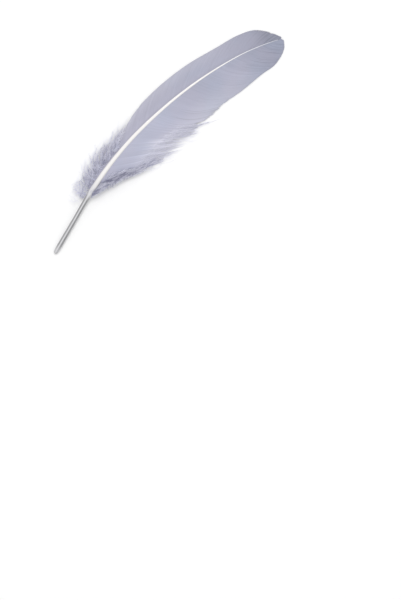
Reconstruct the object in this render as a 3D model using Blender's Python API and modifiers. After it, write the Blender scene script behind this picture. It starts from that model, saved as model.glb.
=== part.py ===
"""Grey goose wing feather, lying flat with its upper side up.

The feather grew as one piece, so it is one closed solid: quill and shaft, the narrow outer vane,
the wide inner vane, and the locks of its loose fringe and of the down at its base. The vanes and
the locks are first made on a straight feather, measured along the shaft and out from it, and are
then bent onto the curved, arched shaft.

Units in the design values are millimetres. X runs from the quill end to the tip, +Y is the side
of the narrow vane, and Z is up from the surface that the feather lies on.
"""

import math
import random

import bmesh
import bpy

MM = 0.001

# The feather's own frame has the quill end at its origin. This is the middle of its box there.
BOX_MIDDLE = (90.96, 11.68, 0.15)

# Middle line of the shaft from the quill end to the tip: it bows to the narrow vane's side and
# arches up off the surface.
SHAFT_LINE = [
    (0.0, 0.0, 1.30),
    (19.2, 5.8, 2.35),
    (38.3, 11.6, 3.50),
    (57.7, 16.0, 4.55),
    (77.5, 18.5, 5.25),
    (97.5, 19.1, 5.40),
    (117.5, 18.2, 4.95),
    (137.2, 15.7, 4.00),
    (156.7, 11.5, 2.75),
    (170.9, 6.7, 1.60),
    (181.8, 1.8, 0.70),
]
LINE_STEPS = 24

# Radius of the shaft: distance along it, radius. It is rounded off at the quill end, is widest
# where the bare quill passes into the vanes, and fades out just before the tip.
SHAFT_RADII = [
    (0.0, 0.40),
    (0.5, 0.85),
    (1.6, 1.22),
    (4.0, 1.42),
    (10.0, 1.48),
    (33.0, 1.48),
    (42.0, 1.62),
    (60.0, 1.34),
    (88.0, 1.04),
    (118.0, 0.78),
    (146.0, 0.52),
    (165.0, 0.36),
    (184.0, 0.22),
]
SHAFT_RING_GAP = 4.0
SHAFT_END_RINGS = (0.0, 0.25, 0.7, 1.6, 3.2)

# Outer edges of the two vanes: distance along the shaft, distance out from its middle line.
WIDE_EDGE = [
    (37.0, 1.6),
    (43.5, 5.0),
    (49.5, 9.7),
    (58.0, 13.7),
    (70.0, 17.9),
    (81.0, 20.3),
    (93.0, 20.8),
    (105.0, 20.4),
    (116.0, 21.4),
    (121.5, 20.7),
    (128.0, 21.0),
    (136.0, 19.4),
    (150.0, 18.9),
    (160.0, 17.3),
    (169.0, 15.4),
    (177.5, 13.5),
    (183.0, 9.9),
    (186.4, 5.5),
    (187.5, 1.2),
]
NARROW_EDGE = [
    (36.0, 3.5),
    (41.0, 7.8),
    (50.0, 10.5),
    (60.0, 10.1),
    (72.0, 8.5),
    (82.0, 8.1),
    (94.0, 9.9),
    (105.0, 11.1),
    (130.0, 11.5),
    (150.0, 10.6),
    (164.0, 10.9),
    (173.0, 10.0),
    (179.0, 6.9),
    (183.5, 3.5),
    (186.2, 1.1),
]

# How far forward of its root a barb ends on the edge: root along the shaft, lead.
WIDE_LEAD = [
    (36.0, 3.5),
    (60.0, 15.0),
    (90.0, 27.0),
    (130.0, 27.0),
    (150.0, 24.0),
    (165.0, 18.0),
    (176.0, 10.2),
    (185.8, 1.7),
]
NARROW_LEAD = [
    (36.0, 2.5),
    (60.0, 11.0),
    (90.0, 17.0),
    (140.0, 18.0),
    (158.0, 16.0),
    (170.0, 12.0),
    (178.0, 7.0),
    (185.8, 0.4),
]
# Share of the lead that a barb makes at a steady rate; the rest comes as it bends to the tip.
STEADY_LEAD = 0.65

# The vane sheet: a row for each barb that is modelled, and columns out to the two edges.
FIRST_ROOT = 36.0
LAST_ROOT = 185.8
ROWS = 62
WIDE_COLUMNS = 6
NARROW_COLUMNS = 4
VANE_THICKNESS = 0.5

# The vane leaves the shaft a little above its middle, at this share of the radius.
ROOT_RISE = 0.25
# It droops to its edge, slowly at first. The edge lies low, with a slow wave along it.
DROOP_POWER = 1.7
DROOP_LIMIT = 1.25
WIDE_DROOP_REACH = 13.0
NARROW_DROOP_REACH = 9.0
LEAST_WIDTH = 0.5
# Near the tip the vane is too narrow for those reaches, and droops over its own width.
TIP_START = 150.0
EDGE_HEIGHT = 0.42
EDGE_WAVE = 0.16
EDGE_WAVE_LENGTH = 31.0
NARROW_WAVE_SHIFT = 1.7
LOWEST_MIDDLE = 0.36

# Splits between the locks of the vane's edge: distance along the edge, depth, half width.
WIDE_SPLITS = [
    (76.0, 3.0, 1.8),
    (84.0, 2.2, 1.6),
    (91.0, 3.4, 1.8),
    (98.0, 2.4, 1.6),
    (104.0, 3.2, 1.8),
    (110.5, 1.8, 1.6),
    (118.8, 3.2, 1.4),
]
NARROW_SPLITS = [
    (86.0, 1.2, 1.6),
    (181.6, 0.8, 1.0),
]

# Locks, group by group: name, how many, first and last root along the shaft, whether on the
# narrow side, the share of a barb's length at which they leave the sheet, and ranges of the share
# at which they end, of their sway along the shaft and of their lift off the sheet.
LOCK_GROUPS = [
    ("fringe", 24, 52.0, 92.5, False, 0.60, (1.05, 1.20), (-0.5, 2.0), (-0.1, 0.5)),
    ("wide_down", 18, 38.0, 58.0, False, 0.25, (1.06, 1.34), (-2.0, 3.0), (0.0, 2.0)),
    ("narrow_down", 20, 37.0, 74.0, True, 0.25, (1.10, 1.50), (-3.0, 3.0), (0.0, 2.2)),
]
LOCK_POINTS = 6
LOCK_HALF_WIDTH = 1.15
LOCK_WIDTH_SPREAD = (0.8, 1.25)
LOCK_FLATNESS = 0.30
# A lock's width at its root, how fast it swells from there, and how fast it then runs to a point.
LOCK_ROOT_SHARE = 0.55
LOCK_SWELL = 0.9
LOCK_TAPER = 1.33
# A lock's lift off the sheet rises and falls over this share of half a wave.
LOCK_ARCH = 0.9
# A lock stays this far from its neighbours' roots, as a share of the gap between roots.
LOCK_ROOT_SPREAD = (0.2, 0.8)
SEED = 7

# Points nearer to each other than this are one point.
WELD = 0.001


def between(points, where):
    """Smooth value at `where` through a list of (place, value) points."""
    if where <= points[0][0]:
        return points[0][1]
    if where >= points[-1][0]:
        return points[-1][1]
    last = len(points) - 1
    i = max(k for k in range(last) if points[k][0] <= where)
    x0, y0 = points[i]
    x1, y1 = points[i + 1]
    slope = (y1 - y0) / (x1 - x0)
    before = slope if i == 0 else (y1 - points[i - 1][1]) / (x1 - points[i - 1][0])
    after = slope if i + 1 == last else (points[i + 2][1] - y0) / (points[i + 2][0] - x0)
    t = (where - x0) / (x1 - x0)
    h = x1 - x0
    return (
        (2 * t**3 - 3 * t**2 + 1) * y0
        + (t**3 - 2 * t**2 + t) * h * before
        + (3 * t**2 - 2 * t**3) * y1
        + (t**3 - t**2) * h * after
    )


def smooth_step(a, b, c, d, t):
    """Value a share t of the way from b to c, on a smooth run through a, b, c and d."""
    square = (2 * a - 5 * b + 4 * c - d) * t**2
    cube = (3 * b - a - 3 * c + d) * t**3
    return 0.5 * (2 * b + (c - a) * t + square + cube)


def line_through(points, steps):
    """Closely spaced points on a smooth curve through `points`."""
    ends = [
        tuple(2 * a - b for a, b in zip(points[0], points[1])),
        tuple(2 * a - b for a, b in zip(points[-1], points[-2])),
    ]
    knots = [ends[0], *points, ends[1]]
    line = []
    for i in range(1, len(knots) - 2):
        p0, p1, p2, p3 = knots[i - 1 : i + 3]
        for k in range(steps):
            line.append(tuple(smooth_step(*around, k / steps) for around in zip(p0, p1, p2, p3)))
    line.append(tuple(points[-1]))
    return line


LINE = line_through(SHAFT_LINE, LINE_STEPS)
DISTANCES = [0.0]
for here, there in zip(LINE, LINE[1:]):
    DISTANCES.append(DISTANCES[-1] + math.dist(here[:2], there[:2]))


def shaft_at(s):
    """Middle of the shaft in plan, its height, and its direction in plan, at distance s."""
    i = 0
    while i < len(LINE) - 2 and DISTANCES[i + 1] < s:
        i += 1
    share = (s - DISTANCES[i]) / (DISTANCES[i + 1] - DISTANCES[i])
    x, y, z = (a + (b - a) * share for a, b in zip(LINE[i], LINE[i + 1]))
    back = LINE[max(i - 1, 0)]
    ahead = LINE[min(i + 2, len(LINE) - 1)]
    length = math.dist(back[:2], ahead[:2])
    return x, y, z, (ahead[0] - back[0]) / length, (ahead[1] - back[1]) / length


def edge_height(s, narrow):
    """Height of a vane's outer edge: low enough to lie on the surface, with a slow wave."""
    turn = 2 * math.pi * s / EDGE_WAVE_LENGTH + (NARROW_WAVE_SHIFT if narrow else 0.0)
    return EDGE_HEIGHT + EDGE_WAVE * (1 + math.sin(turn)) / 2


def vane_height(s, out):
    """Height of the vane's middle surface at s along the shaft and `out` from it."""
    narrow = out > 0
    z = shaft_at(s)[2]
    root = z + ROOT_RISE * between(SHAFT_RADII, s)
    width = max(between(NARROW_EDGE if narrow else WIDE_EDGE, s), LEAST_WIDTH)
    reach = max(width, NARROW_DROOP_REACH if narrow else WIDE_DROOP_REACH)
    if s > TIP_START:
        reach = width
    droop = min(abs(out) / reach, DROOP_LIMIT) ** DROOP_POWER
    height = root + (edge_height(s, narrow) - root) * droop
    return max(height, LOWEST_MIDDLE)


def bend(s, out, lift):
    """Point of the finished feather for a point of the straight one."""
    x, y, _, along_x, along_y = shaft_at(s)
    return (
        (x - along_y * out - BOX_MIDDLE[0]) * MM,
        (y + along_x * out - BOX_MIDDLE[1]) * MM,
        (vane_height(s, out) + lift - BOX_MIDDLE[2]) * MM,
    )


def barb_point(root, share, narrow, reach=1.0):
    """Point on the barb that leaves the shaft at `root`, on the straight feather."""
    lead = between(NARROW_LEAD if narrow else WIDE_LEAD, root)
    width = between(NARROW_EDGE if narrow else WIDE_EDGE, root + lead)
    t = share * reach
    s = root + lead * (STEADY_LEAD * t + (1 - STEADY_LEAD) * t * t)
    return s, width * t * (1 if narrow else -1)


def split_depth(splits, s):
    """How much an edge is drawn back at s by the splits near it."""
    return sum(depth * max(0.0, 1 - abs(s - place) / half) for place, depth, half in splits)


def grey_barbs():
    """Slate grey with a breath of lavender, matt."""
    material = bpy.data.materials.new("grey_barbs")
    material.use_nodes = True
    shader = material.node_tree.nodes["Principled BSDF"]
    shader.inputs["Base Color"].default_value = (0.42, 0.43, 0.52, 1)
    shader.inputs["Roughness"].default_value = 0.65
    shader.inputs["Metallic"].default_value = 0.0
    return material


def new_object(name, mesh, collection):
    obj = bpy.data.objects.new(name, mesh)
    collection.objects.link(obj)
    return obj


def mesh_of_curve(curve, collection):
    """Closed mesh of a curve with filled caps, with the caps welded on."""
    obj = new_object(curve.name, curve, collection)
    graph = bpy.context.evaluated_depsgraph_get()
    mesh = bpy.data.meshes.new_from_object(obj.evaluated_get(graph))
    bpy.data.objects.remove(obj)
    work = bmesh.new()
    work.from_mesh(mesh)
    bmesh.ops.remove_doubles(work, verts=work.verts, dist=WELD * MM)
    bmesh.ops.recalc_face_normals(work, faces=work.faces)
    work.to_mesh(mesh)
    work.free()
    return mesh


def tube(name, points, radii, resolution, collection):
    """Tube along points, given in metres, with a radius at each."""
    curve = bpy.data.curves.new(name, "CURVE")
    curve.dimensions = "3D"
    curve.bevel_depth = 1.0
    curve.bevel_resolution = resolution
    curve.use_fill_caps = True
    spline = curve.splines.new("POLY")
    spline.points.add(len(points) - 1)
    for point, place, radius in zip(spline.points, points, radii):
        point.co = (*place, 1)
        point.radius = radius
    return mesh_of_curve(curve, collection)


def shaft_mesh(collection):
    """Quill and shaft as one round, tapering tube."""
    rings = list(SHAFT_END_RINGS)
    while rings[-1] < SHAFT_RADII[-1][0] - SHAFT_RING_GAP:
        rings.append(rings[-1] + SHAFT_RING_GAP)
    rings.append(SHAFT_RADII[-1][0])
    points = []
    radii = []
    for s in rings:
        x, y, z, _, _ = shaft_at(s)
        points.append(tuple((a - b) * MM for a, b in zip((x, y, z), BOX_MIDDLE)))
        radii.append(between(SHAFT_RADII, s) * MM)
    return tube("shaft", points, radii, 3, collection)


def vane_mesh(collection):
    """Both vanes as one thin sheet whose rows follow the barbs, drawn back at the splits."""
    columns = WIDE_COLUMNS + NARROW_COLUMNS
    work = bmesh.new()
    bmesh.ops.create_grid(work, x_segments=ROWS, y_segments=columns, size=1.0)
    for vert in work.verts:
        row = round((vert.co.x + 1) / 2 * ROWS)
        column = round((vert.co.y + 1) / 2 * columns) - WIDE_COLUMNS
        narrow = column > 0
        root = FIRST_ROOT + (LAST_ROOT - FIRST_ROOT) * row / ROWS
        share = abs(column) / (NARROW_COLUMNS if narrow else WIDE_COLUMNS)
        edge_s, edge_out = barb_point(root, 1.0, narrow)
        back = split_depth(NARROW_SPLITS if narrow else WIDE_SPLITS, edge_s)
        reach = 1 - back / max(abs(edge_out), back + LEAST_WIDTH)
        s, out = barb_point(root, share, narrow, reach)
        vert.co = (s * MM, out * MM, 0)
    mesh = bpy.data.meshes.new("vanes")
    work.to_mesh(mesh)
    work.free()
    sheet = new_object("vanes", mesh, collection)
    wall = sheet.modifiers.new("thickness", "SOLIDIFY")
    wall.thickness = VANE_THICKNESS * MM
    wall.offset = 0.0
    graph = bpy.context.evaluated_depsgraph_get()
    thick = bpy.data.meshes.new_from_object(sheet.evaluated_get(graph))
    bpy.data.objects.remove(sheet)
    bend_mesh(thick)
    return thick


def bend_mesh(mesh):
    """Carry a mesh from the straight feather onto the bent one."""
    for vert in mesh.vertices:
        vert.co = bend(vert.co.x / MM, vert.co.y / MM, vert.co.z / MM)
    work = bmesh.new()
    work.from_mesh(mesh)
    bmesh.ops.recalc_face_normals(work, faces=work.faces)
    work.to_mesh(mesh)
    work.free()


def lock_mesh(name, route, width, collection):
    """One flat, tapering lock along a route of (s, out, lift) points of the straight feather."""
    last = len(route) - 1
    points = [(s * MM, out * MM, 0.0) for s, out, _ in route]
    radii = []
    for i in range(len(route)):
        t = i / last
        radii.append(width * (LOCK_ROOT_SHARE + LOCK_SWELL * t - LOCK_TAPER * t * t) * MM)
    mesh = tube(name, points, radii, 0, collection)
    for vert in mesh.vertices:
        t = nearest_share(route, vert.co.x / MM, vert.co.y / MM)
        i = min(int(t * last), last - 1)
        share = t * last - i
        lift = route[i][2] + (route[i + 1][2] - route[i][2]) * share
        vert.co.z = vert.co.z * LOCK_FLATNESS + lift * MM
    bend_mesh(mesh)
    return mesh


def nearest_share(route, s, out):
    """Share of the way along a route at which it comes nearest to a point."""
    best = min(range(len(route)), key=lambda i: math.dist(route[i][:2], (s, out)))
    return best / (len(route) - 1)


def lock_route(root, narrow, start, end, sway, lift):
    """Route of a lock that follows the barb at `root` from share `start` to share `end`."""
    route = []
    for i in range(LOCK_POINTS):
        t = i / (LOCK_POINTS - 1)
        s, out = barb_point(root, start + (end - start) * t, narrow)
        s += sway * t * t
        route.append((s, out, lift * math.sin(LOCK_ARCH * math.pi * t)))
    return route


def lock_meshes(collection):
    """The loose fringe of the wide vane, and the down on both sides of the base."""
    draw = random.Random(SEED)
    meshes = []
    for name, count, first, last, narrow, start, ends, sways, lifts in LOCK_GROUPS:
        for i in range(count):
            root = first + (last - first) * (i + draw.uniform(*LOCK_ROOT_SPREAD)) / count
            route = lock_route(
                root,
                narrow,
                start,
                draw.uniform(*ends),
                draw.uniform(*sways),
                draw.uniform(*lifts),
            )
            width = LOCK_HALF_WIDTH * draw.uniform(*LOCK_WIDTH_SPREAD)
            meshes.append(lock_mesh(f"{name}_{i}", route, width, collection))
    return meshes


def joined(meshes, collection, tools):
    """Union of closed meshes as one object: the first is the body, and the rest join it."""
    body = new_object("feather", meshes[0], collection)
    pieces = [new_object(mesh.name, mesh, tools) for mesh in meshes[1:]]
    union = body.modifiers.new("join", "BOOLEAN")
    union.operation = "UNION"
    union.solver = "EXACT"
    union.operand_type = "COLLECTION"
    union.collection = tools
    graph = bpy.context.evaluated_depsgraph_get()
    result = bpy.data.meshes.new_from_object(body.evaluated_get(graph))
    body.modifiers.clear()
    body.data = result
    for piece in pieces:
        bpy.data.objects.remove(piece)
    return body


def tidy(body):
    """Weld points that the union left within a thousandth of a millimetre."""
    work = bmesh.new()
    work.from_mesh(body.data)
    bmesh.ops.remove_doubles(work, verts=work.verts, dist=WELD * MM)
    work.to_mesh(body.data)
    work.free()


def main():
    for obj in list(bpy.data.objects):
        bpy.data.objects.remove(obj)
    feather = bpy.data.collections.new("goose_feather")
    tools = bpy.data.collections.new("tools")
    bpy.context.scene.collection.children.link(feather)
    bpy.context.scene.collection.children.link(tools)
    meshes = [vane_mesh(tools), shaft_mesh(tools), *lock_meshes(tools)]
    body = joined(meshes, feather, tools)
    tidy(body)
    body.data.materials.clear()
    body.data.materials.append(grey_barbs())
    body.data.shade_smooth()
    corners = [[f(v.co[k] for v in body.data.vertices) / MM for f in (min, max)] for k in range(3)]
    print("box", corners, "faces", len(body.data.polygons))


main()
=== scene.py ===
# %% [markdown]
# # A grey goose feather
#
# This lesson dresses a goose wing feather that lies on a pale table. It grew as one piece, but its
# parts are very unlike: a bare horn quill, an ivory shaft, two vanes of hundreds of barbs, and soft
# down at the base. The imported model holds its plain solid. Here each part gets its real form.
#
# Blender's lengths are metres. The tables are in millimetres, as a ruler reads them, and `MM`
# turns one into the other.

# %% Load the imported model
import math
from functools import reduce

import bmesh
import bpy
import numpy as np
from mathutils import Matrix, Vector


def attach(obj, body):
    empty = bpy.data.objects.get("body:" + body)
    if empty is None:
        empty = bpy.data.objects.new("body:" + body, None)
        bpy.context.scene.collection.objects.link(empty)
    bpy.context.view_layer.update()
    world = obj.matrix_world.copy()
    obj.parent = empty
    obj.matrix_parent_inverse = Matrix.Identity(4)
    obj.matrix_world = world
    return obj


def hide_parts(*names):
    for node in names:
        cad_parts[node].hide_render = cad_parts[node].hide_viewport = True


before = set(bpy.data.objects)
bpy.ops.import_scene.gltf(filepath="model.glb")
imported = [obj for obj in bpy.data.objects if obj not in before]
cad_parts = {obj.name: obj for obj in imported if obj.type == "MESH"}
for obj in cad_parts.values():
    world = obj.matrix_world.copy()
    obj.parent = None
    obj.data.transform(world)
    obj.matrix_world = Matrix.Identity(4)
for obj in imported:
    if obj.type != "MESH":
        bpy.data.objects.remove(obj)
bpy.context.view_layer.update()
MM = 0.001

# %% [markdown]
# ## The feather's own measure
#
# It is hard to place a barb on a curved and arched feather, and easy on a straight one. So every
# place is first given as three numbers: the distance along the shaft, the distance off it
# (positive towards the narrow vane), and the lift off the vane. One function then bends the
# straight feather onto the real line. The shaft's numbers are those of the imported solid.

# %% The shaft's line and thickness
FEATHER_LENGTH = 187.0
BOX_MIDDLE = (90.96, 11.68, 0.15)
# The shaft's middle as the feather lies: forward, sideways and up.
SHAFT_LINE = [
    (0.0, 0.0, 1.30), (19.2, 5.8, 2.35), (38.3, 11.6, 3.50), (57.7, 16.0, 4.55),
    (77.5, 18.5, 5.25), (97.5, 19.1, 5.40), (117.5, 18.2, 4.95), (137.2, 15.7, 4.00),
    (156.7, 11.5, 2.75), (170.9, 6.7, 1.60), (181.8, 1.8, 0.70), (186.4, -0.3, 0.38),
]
# Distance along the shaft, and its radius there.
SHAFT_RADII = [
    (0.0, 0.40), (0.5, 0.98), (1.6, 1.34), (4.0, 1.48), (10.0, 1.49), (16.0, 1.43), (33.0, 1.43),
    (44.0, 1.55), (60.0, 1.28), (88.0, 0.98), (118.0, 0.70), (146.0, 0.42), (165.0, 0.25),
    (184.0, 0.10),
]


def along(table, where):
    """Smooth values at the places `where` through a table of (place, value) rows."""
    xs, ys = np.array(table, dtype=float).T
    steps = np.diff(ys) / np.diff(xs)
    inner = (ys[2:] - ys[:-2]) / (xs[2:] - xs[:-2])
    slopes = np.concatenate([steps[:1], inner, steps[-1:]])
    where = np.clip(np.asarray(where, dtype=float), xs[0], xs[-1])
    i = np.clip(np.searchsorted(xs, where, side="right") - 1, 0, len(xs) - 2)
    h = xs[i + 1] - xs[i]
    t = (where - xs[i]) / h
    start = (2 * t**3 - 3 * t**2 + 1) * ys[i] + (t**3 - 2 * t**2 + t) * h * slopes[i]
    return start + (3 * t**2 - 2 * t**3) * ys[i + 1] + (t**3 - t**2) * h * slopes[i + 1]


def fine_line(points, steps=24):
    """Closely spaced points on a smooth curve through the given ones."""
    points = np.array(points)
    knots = np.vstack([2 * points[0] - points[1], points, 2 * points[-1] - points[-2]])
    line = []
    for a, b, c, d in zip(knots, knots[1:], knots[2:], knots[3:]):
        for t in np.arange(steps) / steps:
            bend_in = (2 * a - 5 * b + 4 * c - d) * t**2
            bend_out = (3 * b - a - 3 * c + d) * t**3
            line.append(0.5 * (2 * b + (c - a) * t + bend_in + bend_out))
    line.append(points[-1])
    return np.array(line)


LINE = fine_line(SHAFT_LINE)
RUN = np.concatenate([[0.0], np.cumsum(np.linalg.norm(np.diff(LINE[:, :2], axis=0), axis=1))])
HEADING = np.gradient(LINE[:, :2], axis=0)
HEADING /= np.linalg.norm(HEADING, axis=1)[:, None]


def shaft_at(s):
    """Middle of the shaft and its heading in plan, at distances s, in millimetres."""
    middle = np.stack([np.interp(s, RUN, LINE[:, k]) for k in range(3)], axis=-1)
    heading = np.stack([np.interp(s, RUN, HEADING[:, k]) for k in range(2)], axis=-1)
    return middle, heading


print("shaft measured along its bow:", round(RUN[-1], 1), "mm")

# %% [markdown]
# ## The outline and the droop of the vanes
#
# A feather on a table hangs from its arched shaft like a low tent, with the edges of its vanes on
# the table or just off it. A sculpted sheet could do that, but a formula for the height is easier
# to correct. `bend` puts any place of the straight feather where it really is.

# %% How wide the vanes are, and how they droop
SIDES = {"wide": -1, "narrow": 1}
# Distance along the shaft, and how far off it the vane's edge is.
EDGE = {
    "wide": [
        (37.0, 1.6), (43.5, 5.0), (49.5, 9.7), (58.0, 13.7), (70.0, 17.9), (81.0, 20.3),
        (93.0, 20.8), (105.0, 20.8), (116.0, 21.4), (122.0, 21.0), (128.0, 21.2), (136.0, 19.4),
        (150.0, 18.9), (160.0, 17.3), (169.0, 15.4), (177.5, 13.5), (183.0, 9.9), (186.4, 5.2),
        (187.1, 1.3),
    ],
    "narrow": [
        (36.0, 3.5), (41.0, 7.8), (50.0, 10.5), (60.0, 10.1), (72.0, 8.5), (82.0, 8.1),
        (94.0, 9.9), (105.0, 11.1), (130.0, 11.5), (150.0, 10.6), (164.0, 10.9), (173.0, 10.0),
        (179.0, 6.9), (183.5, 3.5), (186.2, 1.1),
    ],
}
LEAST_WIDTH = 0.5
ROOT_RISE = 0.25
EDGE_HEIGHT = 0.42
LOWEST = 0.36
EDGE_WAVE = 0.16
EDGE_WAVE_LENGTH = 31.0
EDGE_WAVE_SHIFT = 1.7
DROOP_POWER = 1.7
DROOP_END = 1.25
# A narrower part of the vane droops as if it were this wide, apart from the tip.
DROOP_REACH = {"wide": 13.0, "narrow": 9.0}
TIP_START = 150.0


def vane_height(s, off):
    """Height of the vane's middle surface, in millimetres."""
    root = shaft_at(s)[0][..., 2] + ROOT_RISE * along(SHAFT_RADII, s)
    narrow = off > 0
    width = np.where(narrow, along(EDGE["narrow"], s), along(EDGE["wide"], s))
    reach = np.where(narrow, DROOP_REACH["narrow"], DROOP_REACH["wide"])
    reach = np.maximum(width, np.where(s > TIP_START, LEAST_WIDTH, reach))
    turn = 2 * np.pi * s / EDGE_WAVE_LENGTH + np.where(narrow, EDGE_WAVE_SHIFT, 0.0)
    edge = EDGE_HEIGHT + EDGE_WAVE * (1 + np.sin(turn)) / 2
    droop = np.minimum(np.abs(off) / reach, DROOP_END) ** DROOP_POWER
    return np.maximum(root + (edge - root) * droop, LOWEST)


def bend(s, off, lift):
    """World places, in metres, of points of the straight feather, in millimetres."""
    s, off, lift = np.broadcast_arrays(s, off, lift)
    middle, heading = shaft_at(s)
    x = middle[..., 0] - heading[..., 1] * off
    y = middle[..., 1] + heading[..., 0] * off
    z = vane_height(s, off) + lift
    return (np.stack([x, y, z], axis=-1) - BOX_MIDDLE) * MM


print("tip of the wide vane", np.round(bend(187.5, -1.5, 0) / MM, 1), "mm")

# %% [markdown]
# ## The line of a barb
#
# Every barb leads from its root towards the tip before it ends at the edge. Along the narrow vane
# it is a plain slanting curve. Along the wide vane it leaves the shaft steeply and bends late, so
# its end lies nearly along the edge. Where barbs have parted, the edge has a notch, and here and
# there a lock stands out beyond it. A formula with a few tables keeps all of that in one place.

# %% Where a barb runs and ends
# Root of a barb, and how far towards the tip it leads.
LEAD = {
    "wide": [
        (36.0, 26.0), (46.0, 30.0), (60.0, 29.0), (80.0, 25.5), (90.0, 23.0), (97.0, 23.5),
        (112.0, 25.0), (125.0, 25.5), (140.0, 24.5), (150.0, 22.5), (165.0, 17.5), (176.0, 10.2),
        (185.8, 1.3),
    ],
    "narrow": [
        (36.0, 2.5), (60.0, 11.0), (90.0, 17.0), (140.0, 18.0), (158.0, 16.0), (170.0, 12.0),
        (178.0, 7.0), (185.8, 0.4),
    ],
}
# Root of a barb, and the share of its lead that is even all along it. The rest comes late, as the
# power in LATE_LEAD says.
EVEN_LEAD = {
    "wide": [
        (44.0, 0.80), (65.0, 0.80), (86.0, 0.72), (96.0, 0.52), (125.0, 0.46), (150.0, 0.50),
        (186.0, 0.52),
    ],
    "narrow": [(42.0, 0.65), (186.0, 0.65)],
}
LATE_LEAD = {
    "wide": [(44.0, 2.6), (86.0, 2.7), (96.0, 4.0), (125.0, 4.6), (150.0, 3.4), (186.0, 2.8)],
    "narrow": [(42.0, 2.0), (186.0, 2.0)],
}
# Notches in the edge: where, how deep, and half their width. A negative depth is a lock that
# stands out.
NOTCHES = {
    "wide": [
        (76.0, 2.0, 1.8), (84.0, 1.4, 1.6), (91.0, 2.0, 1.8), (98.0, 1.2, 1.6), (103.2, 2.2, 1.4),
        (106.6, -2.0, 1.2), (116.8, -3.1, 1.7), (119.5, 1.7, 1.1),
    ],
    "narrow": [(86.0, 1.2, 1.6), (181.6, 0.15, 0.8)],
}
# Root of a barb, and how much of their length beyond the edge the pale wisps keep there.
WISP_REACH = {
    "wide": [(44.0, 1.0), (70.0, 1.0), (82.0, 0.5), (92.0, 0.2), (186.0, 0.2)],
    "narrow": [(42.0, 1.0), (186.0, 1.0)],
}


def barb_point(root, share, side):
    """Distance along and off for a share of the barb that leaves the shaft at `root`."""
    lead = along(LEAD[side], root)
    width = along(EDGE[side], root + lead)
    notch = 0
    for at, deep, half in NOTCHES[side]:
        notch = notch + deep * np.clip(1 - np.abs(root + lead - at) / half, 0, 1)
    share = np.minimum(share, 1) + along(WISP_REACH[side], root) * np.maximum(share - 1, 0)
    share = share * (1 - notch / np.maximum(width, notch + LEAST_WIDTH))
    even = along(EVEN_LEAD[side], root)
    late = share ** along(LATE_LEAD[side], root)
    return root + lead * (even * share + (1 - even) * late), SIDES[side] * width * share


print("a barb rooted at 100 ends at", np.round(barb_point(100.0, 1.0, "wide"), 1), "mm")

# %% [markdown]
# ## Guide sheets
#
# A guide sheet is a plain grid that follows a vane. Its rows are barbs, and its columns are shares
# of a barb's length. Geometry Nodes read places from it, so the sheet says where a vane is, and
# the tree says what the vane is made of. Each point also says how loose the vane is there: near
# the tip the barbs are zipped together, and lower down their ends fray. The down has sheets of its
# own, with short rows that start inside the shaft.

# %% Guide sheets for the vanes and the down
GUIDE_ROWS = 260
DOWN_ROWS = 120
GUIDE_COLUMNS = 27
FARTHEST_SHARE = 1.4
VANE_ROOTS = {"wide": (47.2, 185.8), "narrow": (42.0, 185.8)}
LOOSENESS = {
    "wide": [
        (36.0, 0.6), (60.0, 0.6), (70.0, 0.75), (78.0, 0.68), (88.0, 0.45), (97.0, 0.20),
        (112.0, 0.07), (135.0, 0.0), (186.0, 0.0),
    ],
    "narrow": [(36.0, 1.0), (60.0, 0.8), (78.0, 0.3), (90.0, 0.05), (150.0, 0.0), (186.0, 0.04)],
}
DOWN_ROOTS = {"wide": (35.0, 52.0), "narrow": (33.0, 70.0)}
# Root of a plume, and how far it leads towards the tip, or reaches off the shaft.
DOWN_LEAD = {
    "wide": [(35.0, 2.0), (38.0, 6.0), (40.0, 12.0), (42.5, 23.0), (46.0, 32.0), (52.0, 30.0)],
    "narrow": [(33.0, -3.0), (36.0, 0.5), (40.0, 4.0), (50.0, 10.0), (60.0, 14.0), (70.0, 16.0)],
}
DOWN_REACH = {
    "wide": [(35.0, 1.5), (38.0, 3.2), (40.0, 7.0), (42.5, 13.6), (46.0, 19.8), (52.0, 18.0)],
    "narrow": [(33.0, 8.0), (36.0, 9.0), (40.0, 11.0), (50.0, 12.0), (60.0, 10.5), (70.0, 8.0)],
}
DOWN_BOW = {"wide": 0.15, "narrow": 0.5}
REACH_BOW = 0.4
DOWN_START = 1.0
DOWN_SINK = 1.1
SUNK_SHARE = 0.25


def down_point(root, share, side):
    """Distance along and off for a share of the plume that leaves the shaft at `root`."""
    bow = DOWN_BOW[side]
    s = root + along(DOWN_LEAD[side], root) * ((1 - bow) * share + bow * share**2)
    bow = REACH_BOW * bow
    reach = along(DOWN_REACH[side], root) - DOWN_START
    return s, SIDES[side] * (DOWN_START + reach * ((1 + bow) * share - bow * share**2))


def show(data):
    """Puts data in the scene as an object of the same name."""
    thing = bpy.data.objects.new(data.name, data)
    bpy.context.scene.collection.objects.link(thing)
    return thing


def guide_sheet(name, point, side, ends, rows, sink=0.0):
    """Grid from the first to the last root in `ends`, sunk by `sink` where it meets the shaft."""
    roots = np.linspace(*ends, rows)[:, None]
    shares = np.linspace(0.0, FARTHEST_SHARE, GUIDE_COLUMNS)[None, :]
    s, off = point(roots, shares, side)
    lift = -sink * np.clip(1 - shares / SUNK_SHARE, 0, 1)
    mesh = bpy.data.meshes.new(name)
    mesh.from_pydata(bend(s, off, lift).reshape(-1, 3).tolist(), [], [])
    loose = along(LOOSENESS[side], roots + 0 * shares)
    for title, values in {"loose": loose, "run": s / FEATHER_LENGTH}.items():
        layer = mesh.attributes.new(title, "FLOAT", "POINT")
        layer.data.foreach_set("value", np.ascontiguousarray(values, dtype=np.float32).ravel())
    return show(mesh)


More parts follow.
